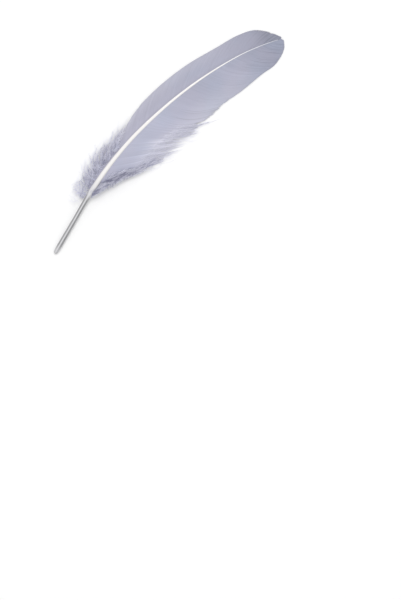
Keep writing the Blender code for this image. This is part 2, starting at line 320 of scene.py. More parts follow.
guides = {}
for side in SIDES:
    down = side + "_down"
    guides[side] = guide_sheet("guide_" + side, barb_point, side, VANE_ROOTS[side], GUIDE_ROWS)
    guides[down] = guide_sheet(
        "guide_" + down, down_point, side, DOWN_ROOTS[side], DOWN_ROWS, DOWN_SINK
    )
print({name: len(sheet.data.vertices) for name, sheet in guides.items()})

# %% [markdown]
# ## Small helpers for node trees
#
# A tree that is built in code is a list of nodes and links. These helpers keep each step to one
# line: `put` adds a node and fills its sockets, with a value or with another node's output, and
# `out` names an output. A socket knows its tree, so `follow` and all that use it need only sockets.

# %% Helpers that build trees
def put(tree, kind, values=None, **settings):
    """Adds a node, applies its settings, and fills its inputs with values or links."""
    node = tree.nodes.new(kind)
    for name, value in settings.items():
        setattr(node, name, value)
    for key, value in (values or {}).items():
        named = [s for s in node.inputs if s.enabled and s.name == key]
        socket = named[0] if named else node.inputs[key]
        if isinstance(value, bpy.types.NodeSocket):
            tree.links.new(value, socket)
        else:
            socket.default_value = value
    return node


def out(node, name=None):
    """The first output in use, or the one in use with this name."""
    return next(s for s in node.outputs if s.enabled and name in (None, s.name))


def follow(kind, values, **settings):
    """Adds a node to the tree of the sockets that it takes in, and gives its first output."""
    taken = next(v for v in values.values() if isinstance(v, bpy.types.NodeSocket))
    return out(put(taken.node.id_data, kind, values, **settings))


def calc(operation, *values):
    """Output of a Math node."""
    return follow("ShaderNodeMath", dict(enumerate(values)), operation=operation)


def times(*values):
    """Product of several numbers."""
    return reduce(lambda a, b: calc("MULTIPLY", a, b), values)


def plus(*values):
    """Sum of several numbers."""
    return reduce(lambda a, b: calc("ADD", a, b), values)


def minus(*values):
    """The first number less all the others."""
    return reduce(lambda a, b: calc("SUBTRACT", a, b), values)


def spread(value, low, high, to_low=0.0, to_high=1.0, kind="SMOOTHSTEP"):
    """Maps a number from one range to another, smoothly, and holds it there."""
    values = {"Value": value, "From Min": low, "From Max": high}
    values |= {"To Min": to_low, "To Max": to_high}
    return follow("ShaderNodeMapRange", values, interpolation_type=kind)


def noise(values, detail, dimensions="3D"):
    """Soft noise from 0 to 1."""
    values = {"Scale": 1.0, "Detail": detail} | values
    return follow("ShaderNodeTexNoise", values, noise_dimensions=dimensions)


def chance(low, high, who, seed, step=0):
    """A random number for each `who`, from `low` to `high`, that the seed fixes."""
    values = {"Min": low, "Max": high, "ID": who, "Seed": plus(seed, step)}
    return follow("FunctionNodeRandomValue", values, data_type="FLOAT")


def vector_of(x, y, z):
    """A vector from three numbers."""
    return follow("ShaderNodeCombineXYZ", {"X": x, "Y": y, "Z": z})


def add_vectors(a, b):
    """Sum of two vectors."""
    return follow("ShaderNodeVectorMath", {0: a, 1: b}, operation="ADD")


def moved(geometry, place, *shift):
    """Points of a geometry at a place that is shifted by x, y and z."""
    values = {"Geometry": geometry, "Position": add_vectors(place, vector_of(*shift))}
    return follow("GeometryNodeSetPosition", values)


def stored(tree, title, kind="FLOAT"):
    """A value that was stored on points under a name."""
    return out(put(tree, "GeometryNodeInputNamedAttribute", {"Name": title}, data_type=kind))


def remember(geometry, title, value, kind="FLOAT"):
    """Stores a value on points under a name."""
    values = {"Geometry": geometry, "Name": title, "Value": value}
    return follow("GeometryNodeStoreNamedAttribute", values, data_type=kind, domain="POINT")


def sampled(geometry, value, index, kind="FLOAT"):
    """A value of a geometry at one of its points."""
    values = {"Geometry": geometry, "Value": value, "Index": index}
    return follow("GeometryNodeSampleIndex", values, data_type=kind, domain="POINT", clamp=True)


def sweep(curve, profile, scale):
    """Mesh of a profile that is swept along curves and closed at both ends."""
    values = {"Curve": curve, "Profile Curve": profile, "Scale": scale, "Fill Caps": True}
    return follow("GeometryNodeCurveToMesh", values)


def new_tree(name, inputs):
    """A Geometry Nodes tree with the named inputs of each kind, and its inputs as outputs."""
    tree = bpy.data.node_groups.new(name, "GeometryNodeTree")
    for way in ("INPUT", "OUTPUT"):
        tree.interface.new_socket("Geometry", in_out=way, socket_type="NodeSocketGeometry")
    for kind, titles in inputs.items():
        for title in titles:
            tree.interface.new_socket(title, in_out="INPUT", socket_type="NodeSocket" + kind)
    return tree, tree.nodes.new("NodeGroupInput").outputs


def end_tree(tree, geometry, material):
    """Turns instances into mesh, gives all of it the material, and ends the tree."""
    real = follow("GeometryNodeRealizeInstances", {"Geometry": geometry})
    done = follow("GeometryNodeSetMaterial", {"Geometry": real, "Material": material})
    put(tree, "NodeGroupOutput", {0: done})
    print(tree.name, "has", len(tree.nodes), "nodes")


def triangles(mesh):
    """How many triangles a mesh has."""
    return sum(len(face.vertices) - 2 for face in mesh.polygons)


def show_shape(name, shape, material):
    """Turns a bmesh shape into an object with one material."""
    mesh = bpy.data.meshes.new(name)
    shape.to_mesh(mesh)
    shape.free()
    mesh.materials.append(material)
    return show(mesh)


def grow(name, tree, values):
    """Runs a tree on an empty mesh and keeps the result as a plain mesh object."""
    piece = show(bpy.data.meshes.new(name))
    nodes = piece.modifiers.new("nodes", "NODES")
    nodes.node_group = tree
    for item in tree.interface.items_tree:
        if item.in_out == "INPUT" and item.name in values:
            nodes[item.identifier] = values[item.name]
    graph = bpy.context.evaluated_depsgraph_get()
    mesh = bpy.data.meshes.new_from_object(piece.evaluated_get(graph), depsgraph=graph)
    piece.modifiers.remove(nodes)
    piece.data = mesh
    mesh.name = name
    mesh.shade_flat()
    print(name, len(mesh.vertices), "points,", triangles(mesh), "triangles")
    return piece


print("helpers ready")

# %% [markdown]
# ## Curves that follow a sheet
#
# Barbs and plumes both start as straight curves, all alike. Each point of a curve then looks up
# its place on a guide sheet, by row and column. A sheet has only so many points, so the place is
# mixed from the four nearest ones, and the curve stays smooth.

# %% Curves, and their places on a guide sheet
LAST_PART = 0.001


def guide_of(tree, given):
    """Geometry of the guide sheet, its last row and column, and the columns of a whole barb."""
    geometry = out(put(tree, "GeometryNodeObjectInfo", {"Object": given["Guide"]}), "Geometry")
    last_row = minus(given["Rows"], 1.0)
    last_column = minus(given["Columns"], 1.0)
    return geometry, last_row, last_column, calc("DIVIDE", last_column, given["Farthest share"])


def kept_on(value, last):
    """The number, held between 0 and just under the last row or column."""
    return calc("MINIMUM", calc("MAXIMUM", value, 0.0), minus(last, LAST_PART))


def sheet_place(tree, geometry, columns, row, column):
    """Place on the sheet at a row and column that need not be whole, and the point before it."""
    row0 = calc("FLOOR", row)
    column0 = calc("FLOOR", column)
    first = calc("MULTIPLY_ADD", row0, columns, column0)
    position = out(put(tree, "GeometryNodeInputPosition"))

    def mixed(part, a, b):
        return follow("ShaderNodeMix", {0: part, 4: a, 5: b}, data_type="VECTOR")

    def place_in_row(start):
        ends = (start, plus(start, 1.0))
        places = [sampled(geometry, position, i, "FLOAT_VECTOR") for i in ends]
        return mixed(minus(column, column0), *places)

    far = place_in_row(plus(first, columns))
    return mixed(minus(row, row0), place_in_row(first), far), first


def many_curves(tree, count, points):
    """So many straight curves, and for each point its curve's number and its share from 0 to 1."""
    line = follow("GeometryNodeMeshLine", {"Count": points, "Offset": (0, 0, MM)})
    curve = follow("GeometryNodeMeshToCurve", {"Mesh": line})
    spots = follow("GeometryNodeMeshLine", {"Count": count, "Offset": (MM, 0, 0)})
    copies = follow("GeometryNodeInstanceOnPoints", {"Points": spots, "Instance": curve})
    real = follow("GeometryNodeRealizeInstances", {"Geometry": copies})
    index = out(put(tree, "GeometryNodeInputIndex"))
    spot = put(tree, "GeometryNodeCurveOfPoint", {"Point Index": index})
    share = calc("DIVIDE", out(spot, "Index in Curve"), minus(points, 1.0))
    return real, out(spot, "Curve Index"), share


print("each sheet has", GUIDE_COLUMNS, "points a row")

# %% [markdown]
# ## The tree for vane barbs
#
# A barb is a flat blade that leaves the shaft, bends towards the tip and ends at the vane's edge.
# The tree makes one straight curve for each barb, then moves every point of it to its place on the
# guide sheet. Blades overlap a little, as roof tiles do, because on the real vane tiny hooks zip
# each barb to the next. Where the vane is loose, barbs gather into locks, stray and thin out. No
# two neighbours lie in one plane, because faces that share a plane flicker in a render.

# %% The barb tree
# A pair is the least and the most of a range. Four numbers are a range and the values at its ends.
ROOT_SHUFFLE = (0.35, 0.65)
LATE_POWER = 3.0
LOCK_NOISE = 0.9
LOCK_UNEVEN = 1.6
LOCK_IDS = 500.0
SWAY_WAVES = 1.7
LOCK_STEP = 3.7
BARB_STEP = 0.77
BARB_ENDS = (-1.0, 0.55)
LOCK_ENDS = (-0.6, 0.6)
LOCK_HEIGHTS = (-0.15, 1.0)
TIGHT_LIFT = 0.05
RIPPLE = 0.025 * MM
THINNING = (0.45, 0.98)
THINNEST = 0.80
POINTED = (0.88, 1.0, 1.0, 0.2)
WIDTHS = (0.85, 1.15)
STREAK_STEP = 0.33
STREAK_ROUGHNESS = 0.7

barb_tree, given = new_tree(
    "barbs_on_a_vane",
    {
        "Object": ["Guide"],
        "Int": ["Rows", "Columns", "Barbs", "Points a barb", "Seed"],
        "Float": [
            "Farthest share", "Width", "Thickness", "Tile angle", "Uneven tiles", "Barbs a lock",
            "Gather", "Lock lift", "Lock sway", "Barb sway", "Uneven ends",
        ],
        "Material": ["Material"],
    },
)


def build_barb_tree(tree, given):
    """Barbs as tilted blades that follow a vane's guide sheet."""
    curves, barb, share = many_curves(tree, given["Barbs"], given["Points a barb"])
    seed = given["Seed"]
    columns = given["Columns"]
    geometry, last_row, last_column, whole = guide_of(tree, given)

    # Where on the shaft the barb is rooted, and how loose the vane is there.
    rows_a_barb = calc("DIVIDE", last_row, given["Barbs"])
    row = times(plus(barb, chance(*ROOT_SHUFFLE, barb, seed)), rows_a_barb)
    root_index = times(calc("FLOOR", row), columns)
    loose = sampled(geometry, stored(tree, "loose"), root_index)
    late = calc("POWER", share, LATE_POWER)

    # Locks of unlike size: barbs lean towards the middle of their lock, more towards the end.
    step = calc("DIVIDE", barb, given["Barbs a lock"])
    uneven = noise({"W": plus(times(step, LOCK_NOISE), seed)}, 1.0, "1D")
    step = plus(step, times(uneven, LOCK_UNEVEN))
    lock = calc("FLOOR", step)
    inside = minus(step, lock, 0.5)
    pull = times(inside, given["Barbs a lock"], rows_a_barb, given["Gather"], loose, late)

    # Each lock sways as one, and its barbs stray a little from it.
    def sway(who, amount):
        where = vector_of(who, times(share, SWAY_WAVES), seed)
        return times(minus(noise({"Vector": where}, 2.0), 0.5), amount)

    lock_sway = sway(times(lock, LOCK_STEP), given["Lock sway"])
    barb_sway = sway(times(barb, BARB_STEP), given["Barb sway"])
    wander = times(plus(lock_sway, barb_sway), loose, late)
    row = kept_on(plus(minus(row, pull), wander), last_row)

    # How far out it reaches: all the way where the vane is tight, unevenly where it is loose.
    lock_id = plus(lock, LOCK_IDS)
    own_end = chance(*BARB_ENDS, barb, seed, 11)
    reach = plus(own_end, chance(*LOCK_ENDS, lock_id, seed, 12))
    reach = plus(times(reach, given["Uneven ends"], loose), 1.0)
    column = kept_on(times(share, reach, whole), last_column)
    place, first = sheet_place(tree, geometry, columns, row, column)

    # Whole locks lie a little higher or lower than their neighbours, and so do single barbs.
    lock_height = chance(*LOCK_HEIGHTS, lock_id, seed, 13)
    free = calc("MULTIPLY_ADD", loose, 1.0 - TIGHT_LIFT, TIGHT_LIFT)
    lift = times(lock_height, given["Lock lift"], free, share)
    lift = plus(lift, chance(-RIPPLE, RIPPLE, barb, seed, 14))
    placed = moved(curves, place, 0.0, 0.0, lift)

    # Full width along most of the barb, thinner towards the end, and thinnest where it is loose.
    fine = times(spread(share, *THINNING), loose, THINNEST)
    point = spread(share, *POINTED, "LINEAR")
    width = times(minus(1.0, fine), point, chance(*WIDTHS, barb, seed, 15))

    # What the finish reads, with bands of a few barbs that are a little lighter or darker.
    banded = {"W": calc("MULTIPLY_ADD", barb, STREAK_STEP, seed), "Roughness": STREAK_ROUGHNESS}
    for title, value in {
        "share": share,
        "barb": chance(0.0, 1.0, barb, seed, 16),
        "lock": chance(0.0, 1.0, lock_id, seed, 17),
        "streak": noise(banded, 3.0, "1D"),
        "loose": loose,
        "run": sampled(geometry, stored(tree, "run"), first),
    }.items():
        placed = remember(placed, title, value)

    # A thin blade along each curve, tilted as a tile.
    upright = follow("GeometryNodeSetCurveNormal", {"Curve": placed}, mode="Z_UP")
    turned = times(chance(-1.0, 1.0, barb, seed, 18), given["Uneven tiles"])
    turned = plus(turned, given["Tile angle"])
    tiled = follow("GeometryNodeSetCurveTilt", {"Curve": upright, "Tilt": turned})
    thick = given["Thickness"]
    kite = {"Width": given["Width"], "Bottom Height": thick, "Top Height": thick}
    blade = follow("GeometryNodeCurvePrimitiveQuadrilateral", kite, mode="KITE")
    end_tree(tree, sweep(tiled, blade, width), given["Material"])


build_barb_tree(barb_tree, given)

# %% [markdown]
# ## Finishes
#
# Finishes are node trees too. A painted picture would need a flat layout of thousands of blades.
# Instead the trees above leave numbers on the mesh, such as the share of a barb's length, and the
# materials turn them into colour.

# %% Helpers for materials
def new_material(name, color, roughness, sheen=0.0, coat=0.0):
    """A Principled material and its node tree."""
    material = bpy.data.materials.new(name)
    material.use_nodes = True
    shader = material.node_tree.nodes["Principled BSDF"]
    shader.inputs["Base Color"].default_value = (*color, 1.0)
    shader.inputs["Roughness"].default_value = roughness
    shader.inputs["Sheen Weight"].default_value = sheen
    shader.inputs["Coat Weight"].default_value = coat
    return material, material.node_tree


def painted(material, color):
    """The material, with its colour taken from its nodes."""
    shader = material.node_tree.nodes["Principled BSDF"]
    material.node_tree.links.new(color, shader.inputs["Base Color"])
    return material


def read(tree, title):
    """A number that was stored on the mesh."""
    return put(tree, "ShaderNodeAttribute", attribute_name=title).outputs["Fac"]


def cloud(tree, scale, detail=2.0, stretch=(1, 1, 1), turn=0.0):
    """Soft noise from 0 to 1 in the object's own space: patches a metre, stretched and turned."""
    place = put(tree, "ShaderNodeTexCoord").outputs["Object"]
    drawn_out = {"Vector": place, "Rotation": (0.0, 0.0, turn), "Scale": stretch}
    turned = follow("ShaderNodeMapping", drawn_out, vector_type="TEXTURE")
    return noise({"Vector": turned, "Scale": scale}, detail)


def blend_colors(part, a, b, kind="MIX"):
    """Mixes two colours by a number from 0 to 1."""
    a, b = [(*c, 1.0) if isinstance(c, tuple) else c for c in (a, b)]
    return follow("ShaderNodeMix", {0: part, 6: a, 7: b}, data_type="RGBA", blend_type=kind)


def toned(color, *tones):
    """A colour times a tone of its own for red, green and blue."""
    grey = follow("ShaderNodeCombineColor", dict(enumerate(tones)))
    return blend_colors(1.0, color, grey, kind="MULTIPLY")


print("materials before the finishes:", len(bpy.data.materials))

# %% [markdown]
# ## The vanes' grey
#
# Barbs are matt and slightly silky, so the finish is rough with a little sheen. Their colour is
# not even: the vane is paler at the base than at the tip, loose ends are nearly white, each barb
# differs a little from the next, and soft clouds of lavender and blue-grey lie over all of it.
# Painted shade lies beside the shaft, and a few darker barbs are painted shade for the steps where
# locks part. Both vanes share one recipe, in which each has its own numbers.

# %% Vane finish
PALE_GREY = (0.465, 0.47, 0.585)
MIDDLE_GREY = (0.37, 0.385, 0.49)
TIP_GREY = (0.245, 0.26, 0.345)
LAVENDER = (0.43, 0.40, 0.49)
BLUE_GREY = (0.345, 0.38, 0.49)
FRAYED = (0.79, 0.785, 0.87)
TINT = 0.30
PATCHES = 55.0
PATCH_EDGES = (0.30, 0.70)
# How much barbs differ: first what the loose ends add, then what all of them have.
UNEVEN = (0.20, 0.04)
BAND_CONTRAST = (2.0, 0.15)
# Stretches of the feather, from 0 at the quill's end to 1 at the tip.
TO_MIDDLE = (0.45, 0.72)
TO_TIP = (0.76, 1.0)
TONE_CHANGE = (0.50, 0.66)
PALE_EDGE_ENDS = (0.60, 0.95)
TIP_SHADE_STARTS = (0.90, 0.96)
# Stretches of a barb, from 0 at its root to 1 at its end.
OUTER = (0.35, 1.0)
SPLIT_SHADE_STARTS = (0.25, 0.60)
# Of all barbs, those whose own number is past these are darker: painted shade for the steps where
# locks part.
SPLIT_SHADE_BARBS = (0.90, 0.93)


def vane_finish(
    name, low_tone, tone, warmth, pale_edge, root_shade, shaded_share, tip_shade, split_shade
):
    """Grey of one vane: its lightness, lavender and pale edge, its darker tip, painted shade beside
    the shaft, and darker barbs painted as shade where locks part.
    """
    material, tree = new_material(name, MIDDLE_GREY, 0.62, sheen=0.10)
    run, share, loose = [read(tree, title) for title in ("run", "share", "loose")]
    barb, lock, streak = [read(tree, title) for title in ("barb", "lock", "streak")]
    color = blend_colors(spread(run, *TO_MIDDLE), PALE_GREY, MIDDLE_GREY)
    color = blend_colors(spread(run, *TO_TIP), color, TIP_GREY)
    patches = spread(cloud(tree, PATCHES), *[edge - warmth for edge in PATCH_EDGES])
    color = blend_colors(TINT, color, blend_colors(patches, BLUE_GREY, LAVENDER))
    outer = spread(share, *OUTER)
    edge = times(outer, spread(run, *PALE_EDGE_ENDS, pale_edge, 0.0))
    pale = calc("MAXIMUM", edge, times(outer, loose))
    color = blend_colors(pale, color, FRAYED)

    uneven = calc("MULTIPLY_ADD", times(loose, share), *UNEVEN)
    own = times(minus(barb, 0.5), uneven)
    group = times(minus(lock, 0.5), uneven)
    near_tip = spread(run, *TIP_SHADE_STARTS, 0.0, tip_shade)
    contrast = calc("MULTIPLY_ADD", near_tip, *BAND_CONTRAST)
    bands = times(minus(streak, 0.5), contrast)
    # Painted shade beside the shaft, where the raised shaft shades the vane.
    painted_shaft_shade = spread(share, 0.0, shaded_share, root_shade, 0.0)
    # Painted shade on a few barbs, darker from partway out, for the steps where locks part.
    line = spread(barb, *SPLIT_SHADE_BARBS, 0.0, split_shade)
    line = times(line, spread(share, *SPLIT_SHADE_STARTS))
    tone = spread(run, *TONE_CHANGE, low_tone, tone)
    shade = minus(plus(own, group, bands, tone), near_tip, painted_shaft_shade, line)
    return painted(material, toned(color, shade, shade, shade))


wide_grey = vane_finish(
    "barb_grey_wide", low_tone=1.04, tone=1.0, warmth=0.0, pale_edge=0.30,
    root_shade=0.07, shaded_share=0.55, tip_shade=0.0, split_shade=0.18,
)
narrow_grey = vane_finish(
    "barb_grey_narrow", low_tone=0.85, tone=0.915, warmth=0.15, pale_edge=0.20,
    root_shade=0.10, shaded_share=0.25, tip_shade=0.18, split_shade=0.08,
)
print("finishes:", wide_grey.name, narrow_grey.name)

# %% [markdown]
# ## The down's grey
#
# Down is dark where plumes lie deep and pale where single threads catch the light. Much of that
# comes from shadows. The finish adds what fewer threads than the real ones can't give: painted
# shade as a deeper grey at the roots and along the ridge below the wide vane's edge, plumes that
# differ, and soft strokes along them.

# %% Down finish
# The down's root greys are darker than its ends: painted shade for the depth among the plumes.
DOWN_ROOT_SHADED = (0.67, 0.672, 0.79)
DOWN_END = (0.82, 0.82, 0.91)
SOFT_ROOT_SHADED = (0.63, 0.635, 0.76)
FRINGE_END = (0.86, 0.86, 0.95)
ROOT_SHADE_SHARE = (0.20, 1.05)
# Painted shade along the ridge, in the gap between the wide vane's lower edge and the down.
RIDGE_SHADE = 0.09
STROKES = 1000.0
STROKE_SHAPE = (5.0, 1.0, 4.0)
STROKE_EDGES = (0.38, 0.58)
LIGHTEST = 1.12
BLUE_KEPT = 0.2
WIDE_TURN = math.radians(-17.0)
NARROW_TURN = math.radians(45.0)


def down_finish(name, deep, end, uneven, strokes, turn):
    """Grey of soft plumes: at the root, darker as painted shade, at the end, how they differ,
    painted shade along the ridge, and strokes along them.
    """
    material, tree = new_material(name, deep, 0.8, sheen=0.15)
    # Darker towards the roots: painted shade.
    color = blend_colors(spread(read(tree, "share"), *ROOT_SHADE_SHARE), deep, end)
    own = calc("MULTIPLY_ADD", read(tree, "plume"), uneven, 1.0 - 0.6 * uneven)
    # Painted shade on plumes rooted near the ridge.
    painted_ridge_shade = calc("MULTIPLY_ADD", read(tree, "ridge"), -RIDGE_SHADE, 1.0)
    drawn = cloud(tree, STROKES, 2.0, STROKE_SHAPE, turn)
    stroke = spread(drawn, *STROKE_EDGES, 1.0 - strokes, 1.0 + 0.6 * strokes)
    own = calc("MINIMUM", times(own, painted_ridge_shade, stroke), LIGHTEST)
    bluish = calc("MULTIPLY_ADD", own, 1.0 - BLUE_KEPT, BLUE_KEPT)
    return painted(material, toned(color, own, own, bluish))


wide_soft = down_finish("down_wide", DOWN_ROOT_SHADED, DOWN_END, 0.50, 0.42, WIDE_TURN)
narrow_soft = down_finish("down_narrow", SOFT_ROOT_SHADED, DOWN_END, 0.40, 0.30, NARROW_TURN)
fringe_pale = down_finish("fringe_pale", DOWN_END, FRINGE_END, 0.20, 0.0, WIDE_TURN)
print("finishes:", wide_soft.name, narrow_soft.name, fringe_pale.name)

# %% [markdown]
# ## Horn and ivory
#
# The bare quill is grey horn, clear enough that light through its walls shows darker lines and a
# bright line along it. Real see-through horn would need a hollow quill and a slow render, so bands
# of painted shade and a painted highlight run along it instead. Where the vanes begin the horn
# turns to ivory, first in a tongue along the middle, and the tip is greyer.

# %% Shaft finish
IVORY = (0.82, 0.80, 0.785)
GREY_IVORY = (0.62, 0.62, 0.64)
HORN = (0.42, 0.42, 0.43)
TIP_IVORY = (0.66, 0.67, 0.72)
# Tones across the upper side of the quill, from the wide vane's side to the narrow vane's side: the
# horn's grey with a painted highlight along the middle and painted shade in dark lines beside it.
HORN_PAINTED_LIGHT_BANDS = [
    (0.00, 0.55), (0.10, 0.34), (0.22, 0.17), (0.33, 0.24), (0.46, 0.58), (0.57, 0.66),
    (0.68, 0.38), (0.82, 0.19), (0.92, 0.34), (1.00, 0.60),
]
HORN_BLUE = 1.03
GRAIN = 700.0
GRAIN_SHAPE = (8.0, 1.0, 1.0)
GRAIN_EDGES = (0.35, 0.70, 0.0, 0.30)
UPPER_SIDE = (0.40, 0.60)
TONGUE = 0.03
# Stretches of the shaft, from 0 at the quill's end to 1 at the tip.
BLUNT_END = (0.008, 0.035, 0.55, 0.0)
HORN_ENDS = (0.180, 0.215)
IVORY_STARTS = (0.195, 0.300)
TIP_GREYS = (0.70, 0.95)


def shaft_finish():
    """Grey horn at the quill with painted highlight and shade, ivory along the rest, and a tongue
    of ivory between them.
    """
    material, tree = new_material("horn_and_ivory", IVORY, 0.38, coat=0.25)
    run, across = read(tree, "run"), read(tree, "across")
    # Painted highlight and shade across the quill's upper side, from the table of tones.
    bands = put(tree, "ShaderNodeValToRGB", {0: across})
    stops = bands.color_ramp.elements
    while len(stops) > 1:
        stops.remove(stops[-1])
    for i, (place, tone) in enumerate(HORN_PAINTED_LIGHT_BANDS):
        stop = stops[0] if i == 0 else stops.new(place)
        stop.position = place
        stop.color = (tone, tone, tone * HORN_BLUE, 1.0)
    upper = spread(read(tree, "upper"), *UPPER_SIDE)
    horn = blend_colors(upper, HORN, bands.outputs["Color"])
    grain = spread(cloud(tree, GRAIN, 3.0, GRAIN_SHAPE), *GRAIN_EDGES)
    horn = blend_colors(grain, horn, HORN)
    horn = blend_colors(spread(run, *BLUNT_END), horn, GREY_IVORY)
    off_middle = calc("ABSOLUTE", minus(across, 0.5))
    tongue = calc("MULTIPLY_ADD", off_middle, -TONGUE, run)
    color = blend_colors(spread(tongue, *HORN_ENDS), horn, GREY_IVORY)
    color = blend_colors(spread(run, *IVORY_STARTS), color, IVORY)
    color = blend_colors(spread(run, *TIP_GREYS), color, TIP_IVORY)
    return painted(material, color)


horn_and_ivory = shaft_finish()
print("finish:", horn_and_ivory.name)

# %% [markdown]
# ## The shaft
#
# The shaft is one long tapering tube. At the base it is a round quill, which closes in a blunt tip
# with a tiny hole. Past the down it is nearly square, with a flat groove along its underside. A
# loft of rings along the line gives all of that: each ring is a circle that is squared and grooved
# by a share that grows along the feather. A bevelled curve would give only round rings.

# %% Loft the shaft
RING_SIDES = 28
RING_GAP = 0.8
BLUNT_RINGS = [0.0, 0.05, 0.15, 0.3, 0.5, 0.8, 1.2, 1.6, 2.2, 3.0, 4.0]
SHAFT_END = 184.0
SQUARE_START = 30.0
SQUARE_OVER = 20.0
SQUARENESS = 0.12
GROOVE_DEPTH = 0.30
GROOVE_WIDTH = 0.35
HOLE_DEPTH = 0.8
END_BULGE = 0.1


def shaft_places(rings, turns):
    """Places of the shaft's rings, in metres, and how the shaft climbs at each of them."""
    middle, heading = shaft_at(rings)
    slope = np.gradient(middle[:, 2], rings)
    radius = along(SHAFT_RADII, rings)
    grown = np.clip((rings - SQUARE_START) / SQUARE_OVER, 0.0, 1.0)[:, None]
    square = 1.0 + SQUARENESS * grown * np.abs(np.sin(2 * turns))[None, :] ** 2
    from_below = np.minimum(turns, 2 * np.pi - turns) - np.pi
    groove = GROOVE_DEPTH * grown * np.exp(-((from_below / GROOVE_WIDTH) ** 2))
    wide = radius[:, None] * np.sin(turns)[None, :] * square
    tall = radius[:, None] * (np.cos(turns)[None, :] * square + groove)
    forward = -slope[:, None] * tall
    x = middle[:, None, 0] - heading[:, None, 1] * wide + heading[:, None, 0] * forward
    y = middle[:, None, 1] + heading[:, None, 0] * wide + heading[:, None, 1] * forward
    z = middle[:, None, 2] + tall
    return (np.stack([x, y, z], axis=-1) - BOX_MIDDLE) * MM, heading, slope


def shaft_piece():
    """The shaft as a closed mesh, with its run, side and height stored on it."""
    rings = np.arange(BLUNT_RINGS[-1] + RING_GAP, SHAFT_END, RING_GAP)
    rings = np.array(BLUNT_RINGS + list(rings) + [SHAFT_END])
    turns = np.arange(RING_SIDES) / RING_SIDES * 2 * np.pi
    places, heading, slope = shaft_places(rings, turns)
    shape = bmesh.new()
    run, across, upper = [shape.verts.layers.float.new(t) for t in ("run", "across", "upper")]

    def dot(place, s, sideways, upward):
        vert = shape.verts.new(place)
        vert[run] = s / FEATHER_LENGTH
        vert[across] = 0.5 + 0.5 * sideways
        vert[upper] = 0.5 + 0.5 * upward
        return vert

    loops = [
        [dot(place, s, np.sin(turn), np.cos(turn)) for place, turn in zip(ring, turns)]
        for s, ring in zip(rings, places)
    ]
    for near, far in zip(loops, loops[1:]):
        for j in range(RING_SIDES):
            k = (j + 1) % RING_SIDES
            shape.faces.new((near[j], near[k], far[k], far[j]))
    for at, inward in ((0, HOLE_DEPTH), (-1, -END_BULGE)):
        loop = loops[at]
        centre = sum((v.co for v in loop), Vector()) / RING_SIDES
        step = Vector((*heading[at], slope[at])) * inward * MM
        pole = dot(centre + step, rings[at], 0.0, 0.0)
        for j in range(RING_SIDES):
            shape.faces.new((loop[j], loop[(j + 1) % RING_SIDES], pole))
    bmesh.ops.recalc_face_normals(shape, faces=shape.faces)
    piece = show_shape("shaft", shape, horn_and_ivory)
    piece.data.shade_smooth()
    return piece


shaft = shaft_piece()
print("shaft", triangles(shaft.data), "triangles")

# %% [markdown]
# ## Grow the vanes
#
# Each vane is a row of barbs, and both come from the same tree with other sizes, so what is mended
# for one is mended for both. The narrow vane is stiff and tight. The wide one is tight over its
# outer half, and its lower barbs gather in locks that fray.

# %% Grow the vanes
VANE = {
    "Rows": GUIDE_ROWS, "Columns": GUIDE_COLUMNS, "Farthest share": FARTHEST_SHARE,
    "Barbs": 400, "Points a barb": 24, "Thickness": 0.03 * MM,
    "Uneven tiles": math.radians(4.5), "Lock sway": 12.0,
}
wide_vane = grow("wide_vane", barb_tree, VANE | {
    "Guide": guides["wide"], "Material": wide_grey, "Width": 0.62 * MM,
    "Tile angle": math.radians(-3.0), "Barbs a lock": 10.0, "Gather": 0.25,
    "Lock lift": 0.25 * MM, "Barb sway": 12.0, "Uneven ends": 0.30, "Seed": 3,
})
narrow_vane = grow("narrow_vane", barb_tree, VANE | {
    "Guide": guides["narrow"], "Material": narrow_grey, "Width": 0.52 * MM,
    "Tile angle": math.radians(-5.0), "Barbs a lock": 8.0, "Gather": 0.7, "Lock lift": 0.3 * MM,
    "Barb sway": 5.0, "Uneven ends": 0.14, "Seed": 8,
})

# %% [markdown]
# ## The tree for down
#
# Down has no hooks. Each plume is a thin curved stem with hundreds of soft threads round it, so it
# catches air and stands off the table. The tree bends stems over a guide sheet with a lot of
# chance, then sets small pointed threads along each stem, each leaning towards the stem's end.

# %% The down tree
FEW_LONG = 1.4
LOWEST_PLUME = 0.05
PLUME_STEP = 3.71
WAVES = 1.8
# Where each wander starts in the noise, and how fast it changes along the plume.
WANDER_ASIDE = (0.0, 0.8)
WANDER_X = (7.3, 1.6)
WANDER_Y = (19.1, 1.6)
WANDER_UP = (31.7, 1.2)
SPREAD_POWER = 0.8
CURL_POWER = 1.4
RISE_TURN = 2.3
CRIMPS = (18.0, 44.0)
CRIMP_START = 2.4
CRIMPED = (0.0, 0.3)
RIDGE_WIDTH = (0.04, 0.14)
STEM_TAPER = 0.75
LEANS = (0.7, 1.25)
LEAN_LOSS = 0.35
THREAD_LENGTHS = (0.5, 1.0)
SHORT_AT_ROOT = (0.0, 0.30, 0.3, 1.0)
SHORT_AT_END = (0.75, 1.0, 1.0, 0.35)

down_tree, down_given = new_tree(
    "down_plumes",
    {
        "Object": ["Guide"],
        "Int": ["Rows", "Columns", "Plumes", "Points a plume", "Seed"],
        "Float": [
            "Farthest share", "Stem width", "First root", "Last root", "First share",
            "Spread rows", "Curl", "Crimp", "Ridge root", "Lift", "Shortest", "Longest",
            "Thread gap", "Thread length", "Thread width", "Lean",
        ],
        "Material": ["Material"],
    },
)


